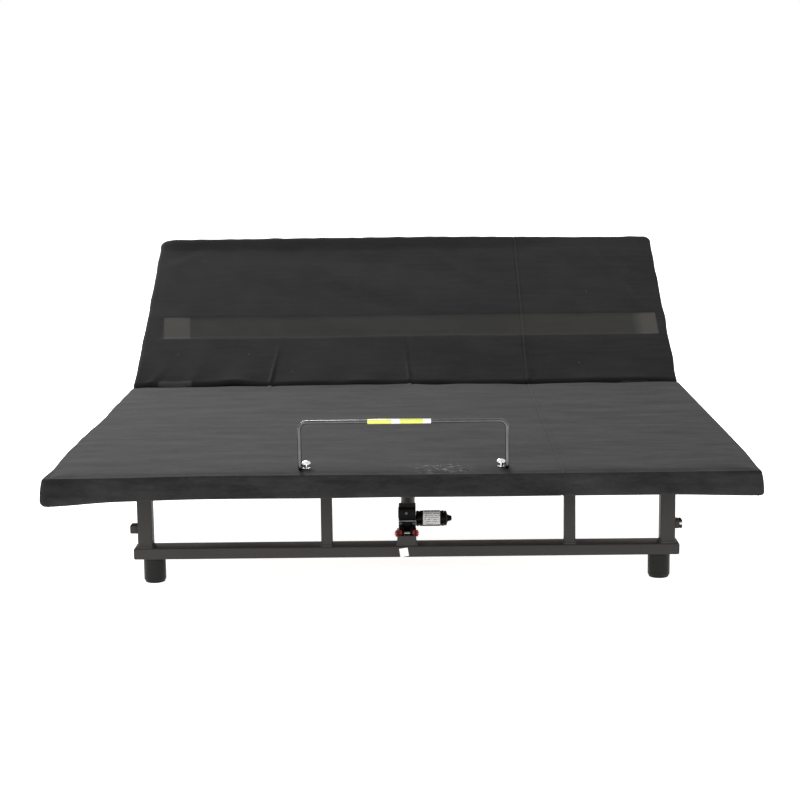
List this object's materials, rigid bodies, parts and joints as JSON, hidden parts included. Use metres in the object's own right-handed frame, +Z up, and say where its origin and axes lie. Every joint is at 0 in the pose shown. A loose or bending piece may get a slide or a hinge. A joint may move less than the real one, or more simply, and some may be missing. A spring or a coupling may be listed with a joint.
{
  "type": "adjustable bed base",
  "caption": "Low adjustable bed base: fabric-covered flat and head sections on a steel frame, head section raised by a linear actuator, wire mattress retainer at the foot.",
  "frame": {"origin": "centre of the bounding box at floor level, with the head section at its rest angle of 28.5 degrees", "axes": "+Z up, +Y along the bed toward the head end, +X to the right seen from the foot end"},
  "size_m": [1.524, 1.9582, 0.6556],
  "materials": {
    "frame_paint": "satin dark warm grey powder coat",
    "charcoal_fabric": "charcoal woven cover with soft folds",
    "board": "raw pressed board",
    "steel": "bright zinc plated",
    "red_plastic": "moulded red",
    "black_plastic": "fine moulded texture",
    "motor_paint": "satin black",
    "black_wire": "gloss black over steel",
    "reflective_tape": "yellow green reflective tape with pale bands"
  },
  "bodies": {
    "base": {"front_cross_rail": "frame_paint", "front_top_tube": "frame_paint", "front_upright_outer_left": "frame_paint", "front_foot_left": "frame_paint", "front_upright_outer_right": "frame_paint", "front_foot_right": "frame_paint", "rear_cross_rail": "frame_paint", "rear_top_tube": "frame_paint", "rear_upright_outer_left": "frame_paint", "rear_foot_left": "frame_paint", "rear_upright_outer_right": "frame_paint", "rear_foot_right": "frame_paint", "front_upright_inner_left": "frame_paint", "front_upright_inner_right": "frame_paint", "side_beam_left": "frame_paint", "side_beam_right": "frame_paint", "side_stub_left": "frame_paint", "side_stub_right": "frame_paint", "deck_hinge_tube": "frame_paint", "deck_mid_tube": "frame_paint", "deck_end_tube": "frame_paint", "deck_side_rail_left": "frame_paint", "deck_side_rail_right": "frame_paint", "hinge_leaf_fixed_left": "frame_paint", "hinge_leaf_fixed_right": "frame_paint", "actuator_bracket": "frame_paint", "deck_board_middle": "board", "deck_board_foot": "board", "deck_cover": "charcoal_fabric", "hinge_pin_left": "steel", "hinge_pin_right": "steel", "bracket_pin": "steel", "retainer_knob_left": "steel", "retainer_knob_right": "steel", "pin_bush_left": "red_plastic", "pin_bush_right": "red_plastic", "control_box": "black_plastic", "side_stub_cap": "black_plastic", "retainer_bar": "black_wire", "reflective_sleeve": "reflective_tape"},
    "head_section": {"head_hinge_tube": "frame_paint", "head_mid_tube": "frame_paint", "head_end_tube": "frame_paint", "head_side_rail_left": "frame_paint", "head_side_rail_right": "frame_paint", "head_board_lower": "board", "head_board_upper": "board", "head_cover": "charcoal_fabric", "lift_cheek_left": "frame_paint", "lift_cheek_right": "frame_paint", "hinge_leaf_moving_left": "frame_paint", "hinge_leaf_moving_right": "frame_paint"},
    "lift_actuator": {"gear_housing": "black_plastic", "gear_housing_cover": "black_plastic", "motor_can": "motor_paint", "motor_end_cap": "black_plastic", "actuator_tube": "black_plastic", "spindle": "steel"},
    "lift_rod": {"push_rod": "black_wire", "rod_pin": "steel"}
  },
  "joints": [
    {"name": "head_lift", "type": "hinge", "parent": "base", "child": "head_section", "pos_m": [0, 0.29091, 0.2815], "axis": [1, 0, 0], "range_deg": [-28.5, 31.5]},
    {"name": "actuator_swing", "type": "hinge", "parent": "base", "child": "lift_actuator", "pos_m": [0.0075, -0.72909, 0.1045], "axis": [1, 0, 0], "range_deg": [-1.2, 1.3]},
    {"name": "rod_extend", "type": "slide", "parent": "lift_actuator", "child": "lift_rod", "axis": [0, 1, 0], "range_m": [-0.097, 0.107]}
  ],
  "couplings": [
    {"joint": "actuator_swing", "follows": "head_lift", "ratio": 0.0365},
    {"joint": "rod_extend", "follows": "head_lift", "m_per_rad": 0.19072}
  ]
}
